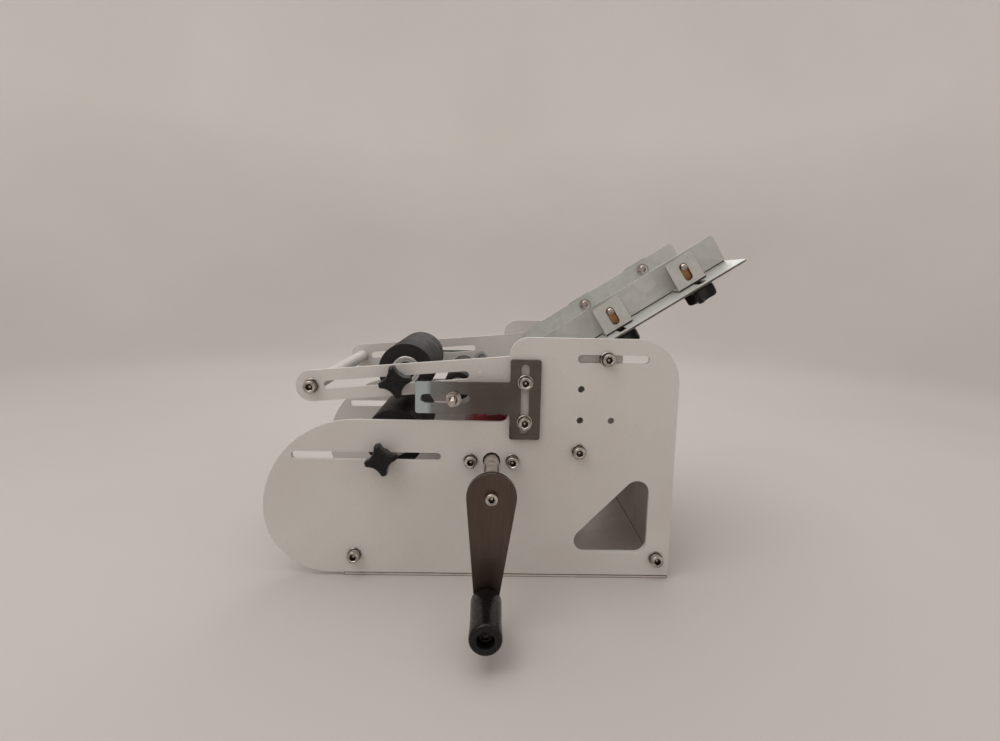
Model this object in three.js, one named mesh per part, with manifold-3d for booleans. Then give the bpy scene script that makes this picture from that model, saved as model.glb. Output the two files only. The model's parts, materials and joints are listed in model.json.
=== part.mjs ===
// Hand-cranked round-bottle labelling machine, in millimetres.
// +X runs towards the label cradle, +Y away from the crank, +Z up.
// The origin is the centre of the base sheet's underside.
import * as THREE from "three";
import { mergeVertices } from "three/addons/utils/BufferGeometryUtils.js";
import Module from "manifold-3d";

const wasm = await Module();
wasm.setup();

// ---- Driving dimensions ----

const GAP = 0.3; // clearance between neighbouring pieces
const SIDES = [
  { name: "near", s: -1 },
  { name: "far", s: 1 },
];

// Side plates and base sheet
const HALF_WIDTH = 104; // to the side plates' outer faces
const PLATE_T = 4;
const PLATE_IN = HALF_WIDTH - PLATE_T;
const BASE_FRONT = -134;
const PLATE_REAR = 133.5;
const BASE_T = 2.5;
const PLATE_BOTTOM = BASE_T + GAP;
const FLANGE_TOP = 22.1;
const FLANGE_IN = 98.2;
const REAR_PANEL_X = 129;
const REAR_PANEL_TOP = 108;
const FRONT_LIP_TOP = 14;
const SHELF_Z = 131;
const PLATE_TOP = 199;
const NOSE_X = -198.5;
const NOSE_Z = 56;
const STEP_X = -1.5;
const STEP_FILLET = 6;
const TOP_FRONT_R = 15.5;
const TOP_REAR_R = 35;

// Shafts and their places, seen along Y
const DRIVE = { x: -14.2, z: 99 };
const SUPPORT = { x: -101, z: 101.6 };
const PRESS = { x: -90.5, z: 162.7 };
const GUIDE = { x: -44.8, z: 150 };
const WEB_ROD = { x: -25.5, z: 157.5 };
const TIE = { x: 55.6, z: 107.9 };
const PIVOT = { x: 75.8, z: 182.8 };
const HANDLE = { x: -158.3, z: 156.8 };

// Rollers
const ROLLER_NEAR = -50;
const ROLLER_FAR = 70;
const DRIVE_R = 27;
const DRIVE_CORE_R = 12;
const SUPPORT_R = 26.5;
const PRESS_R = 24;
const PRESS_CORE_R = 13;
const GUIDE_R = 12.5;
const WEB_ROD_R = 4.5;
const SHAFT_R = 6;
const AXLE_R = 3;
const HOLE_R = AXLE_R + GAP;

// Slots
const SUPPORT_SLOT = { from: -171.1, to: -58.1 };
const PIVOT_SLOT = { from: 55.5, to: 105.7 };
const SLOT_R = 3.3;
const LABEL_HOLES = [
  { x: 55.9, z: 158.5 },
  { x: 55.8, z: 133.2 },
  { x: 80.6, z: 133.2 },
];
const LABEL_HOLE_R = 2.8;

// Screws: M6 socket heads with washers
const HEAD_R = 5;
const HEAD_H = 6;
const WASHER_R = 6;
const WASHER_T = 1.4;
const NUT_R = 5.8;
const NUT_H = 5;
const BASE_SCREWS = [
  { name: "front", x: -125.2, z: 18 },
  { name: "rear", x: 122.8, z: 17.6 },
];
const BEARING_SCREW_PITCH = 33.6;
const BEARING_R = 10.5;

// Press arm
const BAR_OUT = 98.5;
const BAR_T = 4;
const BAR_IN = BAR_OUT - BAR_T;
const BAR_R = 12.5;
const BAR_KNEE = { x: 0, z: 170.6 };
const BAR_SLOT = { from: { x: -145.4, z: 157.9 }, to: { x: -36.6, z: 167.4 } };
const HANDLE_R = 6;

// T-shaped brackets for the guide roller
const TEE_IN = HALF_WIDTH + GAP;
const TEE_T = 3;
const TEE_OUT = TEE_IN + TEE_T;
const TEE = { head0: -0.7, head1: 23.6, low: 117.7, high: 181.8 };
const TEE_ARM = { end: -75.1, low: 138, high: 163.5 };
const TEE_SLOT_X = 11.2;
const TEE_SLOT = { from: 124.8, to: 174.9 };
const TEE_ARM_SLOT = { from: -67.4, to: -35.4 };
const TEE_ARM_SLOT_R = 3.4;
const GUIDE_STUB = 13; // the guide axle's thread beyond its nut
const TEE_SCREWS = [
  { name: "upper", z: 163.8 },
  { name: "lower", z: 131.8 },
];

// Crank
const CRANK_FACE = -187;
const CRANK_T = 4;
const CRANK_HUB_R = 17.1;
const CRANK_END_R = 8.3;
const CRANK_PIN = { x: -16.7, z: 24.6 };
const GRIP_R = 10.6;
const GRIP_END = -233;
const CRANK_SCREW_R = 4.3;

// Label cradle, in its own tilted frame: u up the slope, y across, w off the sheet
const TRAY_AT = { x: 75.9, z: 194.2 };
const TRAY_TILT = THREE.MathUtils.degToRad(32.5);
const TRAY = { low: -112, high: 129, half: 91, t: 1.5 };
const GUSSET_OUT = 90;
const GUSSET_T = 1.5;
const WALL = { low: -61, high: 128, top: 25.8, t: 1.5 };
const FEET = [
  { name: "lower", u: 19, stud: 19 },
  { name: "upper", u: 89.2, stud: 93 },
];
const FOOT_W = 26;
const EAR_TOP = 25.2;
const EAR_STANDOFF = 20;
const EAR_SCREW_W = 17;
const EAR_SLOT_LOW = 8;
const SPACER = { half: 4.4, low: 5, high: 20, stubR: 2.7, stub: 2.5 };
const CRADLES = {
  near: { wall: -48, slot: [-80, -32] },
  far: { wall: 68, slot: [40, 80.2] },
};
const STUD_IN = 12; // from the guide's face to its thumb screw

// Clamp knobs
const KNOB_R = 13;
const KNOB_TIP_R = 3.2;
const KNOB_WAIST_R = 7.6;
const KNOB_HEAD = 11;
const KNOB_BOSS = 4.5;
const KNOB_BOSS_R = 7;

const BOLT_SIDES = 8;
const SHAFT_SIDES = 16;
const ROLLER_SIDES = 32;

// ---- Materials ----

function finish(color, roughness, metalness) {
  return new THREE.MeshStandardMaterial({ color, roughness, metalness });
}

const MATERIALS = {
  whitePaint: finish(0xe6e2df, 0.45, 0.0),
  baseSheet: finish(0xcfc6bf, 0.4, 0.6),
  galvanised: finish(0xc3c9c8, 0.38, 0.85),
  brushed: finish(0x75685f, 0.33, 1.0),
  zinc: finish(0xb8b2ab, 0.28, 1.0),
  aluminium: finish(0xc7c8ca, 0.3, 1.0),
  blackRubber: finish(0x1d1a1b, 0.62, 0.0),
  redSilicone: finish(0x8f1418, 0.4, 0.0),
  blackPlastic: finish(0x151314, 0.42, 0.0),
  brass: finish(0xa07042, 0.3, 1.0),
};

const machine = new THREE.Group();
const cradle = new THREE.Group();
cradle.position.set(TRAY_AT.x, 0, TRAY_AT.z);
cradle.rotation.y = -TRAY_TILT;
machine.add(cradle);

function part(name, geometry, material, home = machine) {
  const mesh = new THREE.Mesh(geometry, material);
  mesh.name = name;
  home.add(mesh);
  return mesh;
}

// ---- Solids ----

// A closed three.js geometry as a manifold solid.
function solid(geometry) {
  const bare = geometry.clone();
  bare.deleteAttribute("normal");
  bare.deleteAttribute("uv");
  const merged = mergeVertices(bare, 1e-3);
  const index = merged.index.array;
  const triangles = [];
  for (let i = 0; i < index.length; i += 3) {
    const [a, b, c] = [index[i], index[i + 1], index[i + 2]];
    if (a !== b && b !== c && c !== a) triangles.push(a, b, c);
  }
  return new wasm.Manifold(
    new wasm.Mesh({
      numProp: 3,
      vertProperties: merged.attributes.position.array,
      triVerts: new Uint32Array(triangles),
    }),
  );
}

function geometryOf(manifold) {
  const mesh = manifold.getMesh();
  const geometry = new THREE.BufferGeometry();
  const positions = new THREE.BufferAttribute(mesh.vertProperties, 3);
  geometry.setAttribute("position", positions);
  geometry.setIndex(new THREE.BufferAttribute(mesh.triVerts, 1));
  const faceted = geometry.toNonIndexed();
  faceted.computeVertexNormals();
  return faceted;
}

function join(...geometries) {
  const whole = geometries.map(solid).reduce((sum, next) => sum.add(next));
  return geometryOf(whole);
}

function cut(geometry, ...tools) {
  const whole = tools.reduce((rest, t) => rest.subtract(solid(t)), solid(geometry));
  return geometryOf(whole);
}

// ---- Outlines and basic forms ----

function circle(x, y, r) {
  return new THREE.Path().absarc(x, y, r, 0, 2 * Math.PI, true);
}

// A round-ended slot between two points, as the outline of a hole or a bar.
function capsule(Outline, from, to, r0, r1 = r0) {
  const span = Math.hypot(to.x - from.x, to.y - from.y);
  const lean = Math.atan2(to.y - from.y, to.x - from.x);
  const open = Math.acos((r0 - r1) / span);
  const outline = new Outline();
  outline.absarc(from.x, from.y, r0, lean + open, lean - open + 2 * Math.PI, false);
  outline.absarc(to.x, to.y, r1, lean - open, lean + open, false);
  outline.closePath();
  return outline;
}

function slot(from, to, r) {
  return capsule(THREE.Path, from, to, r);
}

// A closed outline through corner points, each rounded by its own radius.
function rounded(corners, Outline = THREE.Shape) {
  const outline = new Outline();
  corners.forEach(([x, y, r = 0], i) => {
    const here = new THREE.Vector2(x, y);
    const before = new THREE.Vector2(...corners.at(i - 1).slice(0, 2));
    const after = new THREE.Vector2(...corners[(i + 1) % corners.length].slice(0, 2));
    const back = before.sub(here).normalize();
    const ahead = after.sub(here).normalize();
    const half = Math.acos(THREE.MathUtils.clamp(back.dot(ahead), -1, 1)) / 2;
    const reach = r / Math.tan(half);
    const start = here.clone().addScaledVector(back, reach);
    const end = here.clone().addScaledVector(ahead, reach);
    if (i === 0) outline.moveTo(start.x, start.y);
    else outline.lineTo(start.x, start.y);
    if (r > 0) {
      const middle = back.add(ahead).normalize();
      const hub = here.clone().addScaledVector(middle, r / Math.sin(half));
      const a0 = Math.atan2(start.y - hub.y, start.x - hub.x);
      const a1 = Math.atan2(end.y - hub.y, end.x - hub.x);
      const turn = Math.atan2(Math.sin(a1 - a0), Math.cos(a1 - a0));
      outline.absarc(hub.x, hub.y, r, a0, a0 + turn, turn < 0);
    }
  });
  outline.closePath();
  return outline;
}

// The points of an outline without repeats where two of its curves meet.
function distinct(points) {
  return points.filter((p, i) => p.distanceTo(points.at(i - 1)) > 1e-3);
}

// An outline pushed out by depth along +Z, with its holes cut through.
function extruded(outline, depth, curveSegments = 6) {
  const { shape, holes } = outline.extractPoints(curveSegments);
  const prism = (points, height) => {
    const plain = new THREE.Shape(distinct(points));
    return new THREE.ExtrudeGeometry(plain, { depth: height, bevelEnabled: false });
  };
  const body = prism(shape, depth);
  if (!holes.length) return body;
  return cut(body, ...holes.map((hole) => prism(hole, depth + 2).translate(0, 0, -1)));
}

// A flat outline drawn in X and Z, as a slab from y0 to y1.
function slab(outline, y0, y1, curveSegments = 6) {
  const [low, high] = y0 < y1 ? [y0, y1] : [y1, y0];
  const geometry = extruded(outline, high - low, curveSegments);
  return geometry.rotateX(Math.PI / 2).translate(0, high, 0);
}

function block(x0, x1, y0, y1, z0, z1) {
  const geometry = new THREE.BoxGeometry(x1 - x0, y1 - y0, z1 - z0);
  return geometry.translate((x0 + x1) / 2, (y0 + y1) / 2, (z0 + z1) / 2);
}

// A turned piece along Y: steps of [radius, y from, y to], and an optional bore.
function turned(steps, { sides = BOLT_SIDES, bore = 0 } = {}) {
  const ordered = steps.map(([r, a, b]) => [r, Math.min(a, b), Math.max(a, b)]);
  ordered.sort((a, b) => a[1] - b[1]);
  const points = [new THREE.Vector2(bore, ordered[0][1])];
  for (const [r, a, b] of ordered) {
    points.push(new THREE.Vector2(r, a), new THREE.Vector2(r, b));
  }
  points.push(new THREE.Vector2(bore, ordered.at(-1)[2]));
  if (bore > 0) points.push(points[0].clone());
  return new THREE.LatheGeometry(points, sides);
}

function hexNut(y0, y1, r = NUT_R) {
  return turned([[r, y0, y1]], { sides: 6 });
}

// A socket-head screw with its washer, pointing inwards from the face at seat.
function screw(side, seat, tip, nutAt) {
  const shank = turned([
    [HEAD_R, side * (seat + WASHER_T), side * (seat + WASHER_T + HEAD_H)],
    [WASHER_R, side * seat, side * (seat + WASHER_T)],
    [AXLE_R, side * tip, side * seat],
  ]);
  if (nutAt === undefined) return shank;
  return join(shank, hexNut(side * nutAt, side * (nutAt - NUT_H)));
}

function place(mesh, { x, z }) {
  mesh.position.x = x;
  mesh.position.z = z;
  return mesh;
}

// A four-lobed clamp knob along +Y, its boss starting at y = 0.
function clampKnob() {
  const outline = new THREE.Shape();
  const hub = KNOB_R - KNOB_TIP_R;
  for (let lobe = 0; lobe < 4; lobe += 1) {
    const a = (lobe * Math.PI) / 2;
    const waist = a - Math.PI / 4;
    const start = a - Math.PI / 2.6;
    const tip = { x: hub * Math.cos(a), y: hub * Math.sin(a) };
    const x = tip.x + KNOB_TIP_R * Math.cos(start);
    const y = tip.y + KNOB_TIP_R * Math.sin(start);
    if (lobe === 0) outline.moveTo(x, y);
    else {
      const middle = [KNOB_WAIST_R * Math.cos(waist), KNOB_WAIST_R * Math.sin(waist)];
      outline.quadraticCurveTo(...middle, x, y);
    }
    outline.absarc(tip.x, tip.y, KNOB_TIP_R, start, 2 * a - start, false);
  }
  const last = -Math.PI / 4;
  const tipX = hub + KNOB_TIP_R * Math.cos(Math.PI / 2.6);
  const tipY = KNOB_TIP_R * Math.sin(-Math.PI / 2.6);
  const middle = [KNOB_WAIST_R * Math.cos(last), KNOB_WAIST_R * Math.sin(last)];
  outline.quadraticCurveTo(...middle, tipX, tipY);
  const head = slab(outline, KNOB_BOSS, KNOB_BOSS + KNOB_HEAD, 3);
  const boss = turned([[KNOB_BOSS_R, 0, KNOB_BOSS + 1]], { sides: SHAFT_SIDES });
  return join(head, boss);
}

// The blind bore that a knob on an axle needs.
function boredKnob() {
  return cut(clampKnob(), turned([[HOLE_R, -1, KNOB_BOSS + KNOB_HEAD - 2]]));
}

// ---- Frame ----

function windowHole() {
  const corners = [
    [41, 22.4, 10],
    [114.5, 22.4, 10],
    [114.5, 98.6, 10],
  ];
  return rounded(corners.reverse(), THREE.Path);
}

function sidePlateOutline() {
  const upperNoseR = SHELF_Z - NOSE_Z;
  const lowerNoseR = NOSE_Z - PLATE_BOTTOM;
  const shape = new THREE.Shape();
  const rearHub = { x: PLATE_REAR - TOP_REAR_R, z: PLATE_TOP - TOP_REAR_R };
  shape.moveTo(PLATE_REAR, PLATE_BOTTOM);
  shape.lineTo(PLATE_REAR, rearHub.z);
  shape.absarc(rearHub.x, rearHub.z, TOP_REAR_R, 0, Math.PI / 2, false);
  const frontHub = { x: STEP_X + TOP_FRONT_R, z: PLATE_TOP - TOP_FRONT_R };
  shape.absarc(frontHub.x, frontHub.z, TOP_FRONT_R, Math.PI / 2, Math.PI, false);
  const fillet = { x: STEP_X - STEP_FILLET, z: SHELF_Z + STEP_FILLET };
  shape.absarc(fillet.x, fillet.z, STEP_FILLET, 0, -Math.PI / 2, true);
  shape.absarc(NOSE_X + upperNoseR, NOSE_Z, upperNoseR, Math.PI / 2, Math.PI, false);
  shape.absarc(NOSE_X + lowerNoseR, NOSE_Z, lowerNoseR, Math.PI, 1.5 * Math.PI, false);
  shape.closePath();
  const half = BEARING_SCREW_PITCH / 2;
  const bolts = [
    ...BASE_SCREWS,
    TIE,
    { x: DRIVE.x - half, z: DRIVE.z },
    { x: DRIVE.x + half, z: DRIVE.z },
    ...TEE_SCREWS.map(({ z }) => ({ x: TEE_SLOT_X, z })),
  ];
  shape.holes.push(
    windowHole(),
    circle(DRIVE.x, DRIVE.z, SHAFT_R + 1.2),
    ...bolts.map(({ x, z }) => circle(x, z, HOLE_R)),
    ...LABEL_HOLES.map(({ x, z }) => circle(x, z, LABEL_HOLE_R)),
    slot({ x: SUPPORT_SLOT.from, y: SUPPORT.z }, { x: SUPPORT_SLOT.to, y: SUPPORT.z }, SLOT_R),
    slot({ x: PIVOT_SLOT.from, y: PIVOT.z }, { x: PIVOT_SLOT.to, y: PIVOT.z }, SLOT_R),
  );
  return shape;
}

function basePan() {
  const floor = block(BASE_FRONT, PLATE_REAR, -HALF_WIDTH, HALF_WIDTH, 0, BASE_T);
  const flangeOut = PLATE_IN - GAP;
  const flanges = SIDES.map(({ s }) => {
    const [y0, y1] = [s * FLANGE_IN, s * flangeOut].sort((a, b) => a - b);
    return block(BASE_FRONT, REAR_PANEL_X + 1, y0, y1, BASE_T - 1, FLANGE_TOP);
  });
  const rear = REAR_PANEL_X + BASE_T;
  const back = block(REAR_PANEL_X, rear, -flangeOut, flangeOut, BASE_T - 1, REAR_PANEL_TOP);
  const front = BASE_FRONT + BASE_T;
  const lip = block(BASE_FRONT, front, -flangeOut, flangeOut, BASE_T - 1, FRONT_LIP_TOP);
  const holes = BASE_SCREWS.map(({ x, z }) => {
    return turned([[HOLE_R, -HALF_WIDTH, HALF_WIDTH]]).translate(x, 0, z);
  });
  return cut(join(floor, back, lip, ...flanges), ...holes);
}

// A two-bolt flanged bearing on the inner face of a side plate.
function flangedBearing(s) {
  const half = BEARING_SCREW_PITCH / 2;
  const outer = PLATE_IN - GAP;
  const ends = [
    { x: -half, y: 0 },
    { x: half, y: 0 },
  ];
  const flange = capsule(THREE.Shape, ends[0], ends[1], 7);
  const body = turned([[BEARING_R, s * (outer - 11), s * outer]], { sides: SHAFT_SIDES });
  const bore = turned([[SHAFT_R + GAP, s * (outer - 12), s * (outer + 1)]], { sides: SHAFT_SIDES });
  const holes = ends.map(({ x }) => {
    return turned([[HOLE_R, s * (outer - 12), s * (outer + 1)]]).translate(x, 0, 0);
  });
  return cut(join(slab(flange, s * (outer - 5), s * outer), body), bore, ...holes);
}

function buildFrame() {
  part("base_pan", basePan(), MATERIALS.baseSheet);
  for (const { name, s } of SIDES) {
    const plate = slab(sidePlateOutline(), s * PLATE_IN, s * HALF_WIDTH);
    part(`side_plate_${name}`, plate, MATERIALS.whitePaint);
    for (const at of BASE_SCREWS) {
      const nutAt = FLANGE_IN - GAP;
      const bolt = screw(s, HALF_WIDTH + GAP, nutAt - NUT_H - 1, nutAt);
      place(part(`base_screw_${name}_${at.name}`, bolt, MATERIALS.zinc), at);
    }
    const bearing = part(`shaft_bearing_${name}`, flangedBearing(s), MATERIALS.zinc);
    place(bearing, DRIVE);
    for (const [end, way] of [["front", -1], ["rear", 1]]) {
      const nutAt = PLATE_IN - 5 - 2 * GAP;
      const bolt = screw(s, HALF_WIDTH + GAP, nutAt - NUT_H - 1, nutAt);
      const at = { x: DRIVE.x + (way * BEARING_SCREW_PITCH) / 2, z: DRIVE.z };
      place(part(`bearing_screw_${name}_${end}`, bolt, MATERIALS.zinc), at);
    }
  }
  place(part("tie_rod", tieRod(), MATERIALS.zinc), TIE);
}

// The cross rod that ties the side plates and the cradle's gussets together.
function tieRod() {
  const gussetIn = GUSSET_OUT - GUSSET_T - GAP;
  const steps = [[SHAFT_R, -gussetIn, gussetIn]];
  for (const { s } of SIDES) {
    const seat = HALF_WIDTH + GAP;
    steps.push(
      [AXLE_R, s * gussetIn, s * (GUSSET_OUT + GAP)],
      [5.5, s * (GUSSET_OUT + GAP), s * (PLATE_IN - GAP)],
      [AXLE_R, s * (PLATE_IN - GAP), s * seat],
      [WASHER_R, s * seat, s * (seat + WASHER_T)],
      [HEAD_R, s * (seat + WASHER_T), s * (seat + WASHER_T + HEAD_H)],
    );
  }
  return turned(steps);
}

// ---- Crank and drive roller ----

function grip() {
  const back = CRANK_FACE - GAP;
  const points = [
    [3.4, back],
    [GRIP_R - 1, back],
    [GRIP_R, back - 1],
    [GRIP_R - 0.5, (back + GRIP_END) / 2],
    [GRIP_R, GRIP_END + 2],
    [GRIP_R - 2, GRIP_END],
    [5.6, GRIP_END],
    [5.6, GRIP_END + 9],
    [3.4, GRIP_END + 9],
    [3.4, back],
  ];
  const outline = points.reverse().map(([r, y]) => new THREE.Vector2(r, y));
  return new THREE.LatheGeometry(outline, SHAFT_SIDES);
}

function buildCrank() {
  const inner = CRANK_FACE + CRANK_T;
  const shaft = turned(
    [
      [SHAFT_R, inner + GAP, ROLLER_NEAR - GAP],
      [DRIVE_CORE_R, ROLLER_NEAR - GAP, ROLLER_FAR + GAP],
      [SHAFT_R, ROLLER_FAR + GAP, HALF_WIDTH + 3],
    ],
    { sides: SHAFT_SIDES },
  );
  place(part("drive_shaft", shaft, MATERIALS.zinc), DRIVE);
  const sleeve = turned([[DRIVE_R, ROLLER_NEAR, ROLLER_FAR]], {
    sides: ROLLER_SIDES,
    bore: DRIVE_CORE_R + GAP,
  });
  place(part("drive_sleeve", sleeve, MATERIALS.redSilicone), DRIVE);

  const hub = { x: DRIVE.x, y: DRIVE.z };
  const pin = { x: CRANK_PIN.x, y: CRANK_PIN.z };
  const outline = capsule(THREE.Shape, hub, pin, CRANK_HUB_R, CRANK_END_R);
  outline.holes.push(circle(hub.x, hub.y, HOLE_R), circle(pin.x, pin.y, HOLE_R));
  part("crank_arm", slab(outline, CRANK_FACE, inner, 8), MATERIALS.brushed);

  const face = CRANK_FACE - GAP;
  const screwSteps = [
    [CRANK_SCREW_R, face - HEAD_H + 1, face],
    [AXLE_R, face, inner],
  ];
  place(part("crank_screw", turned(screwSteps), MATERIALS.zinc), DRIVE);

  const pinSteps = [
    [5, GRIP_END + 3.5, GRIP_END + 9 - GAP],
    [AXLE_R, GRIP_END + 9 - GAP, inner + GAP],
  ];
  const pinNut = hexNut(inner + GAP, inner + GAP + NUT_H);
  place(part("grip_bolt", join(turned(pinSteps), pinNut), MATERIALS.zinc), CRANK_PIN);
  place(part("crank_grip", grip(), MATERIALS.blackPlastic), CRANK_PIN);
}

// ---- Guide roller on its T-shaped brackets ----

function teeBracket(s) {
  const corner = 2;
  const outline = rounded([
    [TEE.head1, TEE.low, corner],
    [TEE.head1, TEE.high, corner],
    [TEE.head0, TEE.high, corner],
    [TEE.head0, TEE_ARM.high, corner],
    [TEE_ARM.end, TEE_ARM.high, corner],
    [TEE_ARM.end, TEE_ARM.low, corner],
    [TEE.head0, TEE_ARM.low, corner],
    [TEE.head0, TEE.low, corner],
  ]);
  const upright = [
    { x: TEE_SLOT_X, y: TEE_SLOT.from },
    { x: TEE_SLOT_X, y: TEE_SLOT.to },
  ];
  const level = [
    { x: TEE_ARM_SLOT.from, y: GUIDE.z },
    { x: TEE_ARM_SLOT.to, y: GUIDE.z },
  ];
  outline.holes.push(slot(...upright, SLOT_R - 0.1), slot(...level, TEE_ARM_SLOT_R));
  return slab(outline, s * TEE_IN, s * TEE_OUT, 4);
}

function guideAxle() {
  const steps = [[AXLE_R, -TEE_IN + GAP, TEE_IN - GAP]];
  const nuts = [];
  for (const { s } of SIDES) {
    const washer = TEE_OUT + GAP;
    const nutAt = washer + WASHER_T;
    steps.push(
      [AXLE_R, s * (TEE_IN - GAP), s * washer],
      [WASHER_R, s * washer, s * nutAt],
      [AXLE_R, s * nutAt, s * (nutAt + NUT_H + GUIDE_STUB)],
    );
    nuts.push(hexNut(s * (nutAt - 0.2), s * (nutAt + NUT_H)));
    nuts.push(turned([[5, s * (TEE_IN - GAP - 4.5), s * (TEE_IN - GAP)]]));
  }
  return join(turned(steps), ...nuts);
}

function buildGuideRoller() {
  for (const { name, s } of SIDES) {
    part(`tee_bracket_${name}`, teeBracket(s), MATERIALS.brushed);
    for (const at of TEE_SCREWS) {
      const bolt = screw(s, TEE_OUT + GAP, PLATE_IN + GAP);
      const mesh = part(`bracket_screw_${name}_${at.name}`, bolt, MATERIALS.zinc);
      place(mesh, { x: TEE_SLOT_X, z: at.z });
    }
  }
  place(part("guide_axle", guideAxle(), MATERIALS.zinc), GUIDE);
  const roller = turned([[GUIDE_R, ROLLER_NEAR, ROLLER_FAR]], {
    sides: SHAFT_SIDES,
    bore: HOLE_R,
  });
  place(part("guide_roller", roller, MATERIALS.blackRubber), GUIDE);
}

// ---- Press arm and press roller ----

function armBar(s) {
  const knee = { x: BAR_KNEE.x, y: BAR_KNEE.z };
  const front = capsule(THREE.Shape, { x: HANDLE.x, y: HANDLE.z }, knee, BAR_R);
  const rear = capsule(THREE.Shape, knee, { x: PIVOT.x, y: PIVOT.z }, BAR_R);
  const [y0, y1] = [s * BAR_IN, s * BAR_OUT];
  const inset = { x: BAR_SLOT.from.x, y: BAR_SLOT.from.z };
  const outset = { x: BAR_SLOT.to.x, y: BAR_SLOT.to.z };
  const window = slab(capsule(THREE.Shape, inset, outset, SLOT_R), y0 - s, y1 + s);
  const eyes = [HANDLE, PIVOT].map(({ x, z }) => {
    return turned([[HOLE_R, y0 - s, y1 + s]]).translate(x, 0, z);
  });
  return cut(join(slab(front, y0, y1), slab(rear, y0, y1)), window, ...eyes);
}

// The pivot bolt carries the bar between the plate and the cradle's gusset.
function pivotBolt(s) {
  const seat = HALF_WIDTH + GAP;
  const nutAt = GUSSET_OUT - GUSSET_T - GAP;
  const shank = turned([
    [HEAD_R, s * (seat + WASHER_T), s * (seat + WASHER_T + HEAD_H)],
    [WASHER_R, s * seat, s * (seat + WASHER_T)],
    [AXLE_R, s * (PLATE_IN - GAP), s * seat],
    [WASHER_R, s * (BAR_OUT + GAP), s * (PLATE_IN - GAP)],
    [AXLE_R, s * (BAR_IN - GAP), s * (BAR_OUT + GAP)],
    [5.5, s * (GUSSET_OUT + GAP), s * (BAR_IN - GAP)],
    [AXLE_R, s * (nutAt - NUT_H - 1.5), s * (GUSSET_OUT + GAP)],
  ]);
  return join(shank, hexNut(s * nutAt, s * (nutAt - NUT_H)));
}

function axleAndKnobs(prefix, at, seat, turns) {
  const reach = seat + KNOB_BOSS + KNOB_HEAD - 3;
  const steps = [
    [AXLE_R, -reach, ROLLER_NEAR - 4],
    [6, ROLLER_NEAR - 4, ROLLER_NEAR - GAP],
    [AXLE_R, ROLLER_NEAR - GAP, ROLLER_FAR + GAP],
    [6, ROLLER_FAR + GAP, ROLLER_FAR + 4],
    [AXLE_R, ROLLER_FAR + 4, reach],
  ];
  place(part(`${prefix}_axle`, turned(steps), MATERIALS.zinc), at);
  for (const { name, s } of SIDES) {
    const knob = boredKnob().rotateY(turns[name]);
    if (s < 0) knob.rotateX(Math.PI);
    const mesh = part(`${prefix}_knob_${name}`, knob, MATERIALS.blackPlastic);
    place(mesh, at).position.y = s * seat;
  }
}

function buildPressArm() {
  for (const { name, s } of SIDES) {
    part(`press_arm_bar_${name}`, armBar(s), MATERIALS.whitePaint);
    place(part(`arm_pivot_bolt_${name}`, pivotBolt(s), MATERIALS.zinc), PIVOT);
    const bolt = screw(s, BAR_OUT + GAP, BAR_IN - 9);
    place(part(`handle_screw_${name}`, bolt, MATERIALS.zinc), HANDLE);
  }
  const reach = BAR_IN - GAP;
  const rod = turned([[HANDLE_R, -reach, reach]], { sides: SHAFT_SIDES });
  const sockets = SIDES.map(({ s }) => turned([[HOLE_R, s * (reach + 1), s * (BAR_IN - 10)]]));
  place(part("handle_rod", cut(rod, ...sockets), MATERIALS.aluminium), HANDLE);

  const turns = { near: 1.22, far: 0.4 };
  axleAndKnobs("press", PRESS, BAR_OUT + GAP, turns);
  const core = turned([[PRESS_CORE_R - GAP, ROLLER_NEAR, ROLLER_FAR]], {
    sides: SHAFT_SIDES,
    bore: HOLE_R,
  });
  place(part("press_roller_core", core, MATERIALS.aluminium), PRESS);
  const sleeve = turned([[PRESS_R, ROLLER_NEAR + 1, ROLLER_FAR - 1]], {
    sides: ROLLER_SIDES,
    bore: PRESS_CORE_R,
  });
  place(part("press_roller_sleeve", sleeve, MATERIALS.blackRubber), PRESS);
}

function buildSupportRoller() {
  const turns = { near: 1.3, far: 0.7 };
  axleAndKnobs("support", SUPPORT, HALF_WIDTH + GAP, turns);
  const roller = turned([[SUPPORT_R, ROLLER_NEAR, ROLLER_FAR]], {
    sides: ROLLER_SIDES,
    bore: HOLE_R,
  });
  place(part("support_roller", roller, MATERIALS.blackRubber), SUPPORT);
}

// ---- Label cradle ----

// A point of the machine's X and Z, in the cradle's u and w.
function inCradle({ x, z }) {
  const [dx, dz] = [x - TRAY_AT.x, z - TRAY_AT.z];
  const [c, s] = [Math.cos(TRAY_TILT), Math.sin(TRAY_TILT)];
  return { x: dx * c + dz * s, y: dz * c - dx * s };
}

function trayCheek(s, pivot, tie, rod) {
  const outline = rounded([
    [TRAY.low, -0.8],
    [-98, -8, 3],
    [tie.x - 12, tie.y + 2, 9],
    [tie.x + 2, tie.y - 12, 9],
    [pivot.x + 10, pivot.y - 9, 7],
    [pivot.x + 10, -0.8],
    [TRAY.low + 14, -0.8],
    [TRAY.low + 12, rod.y + 7, 4],
    [TRAY.low, rod.y + 7, 4],
  ]);
  for (const at of [pivot, tie, rod]) outline.holes.push(circle(at.x, at.y, HOLE_R));
  return slab(outline, s * (GUSSET_OUT - GUSSET_T), s * GUSSET_OUT);
}

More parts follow.
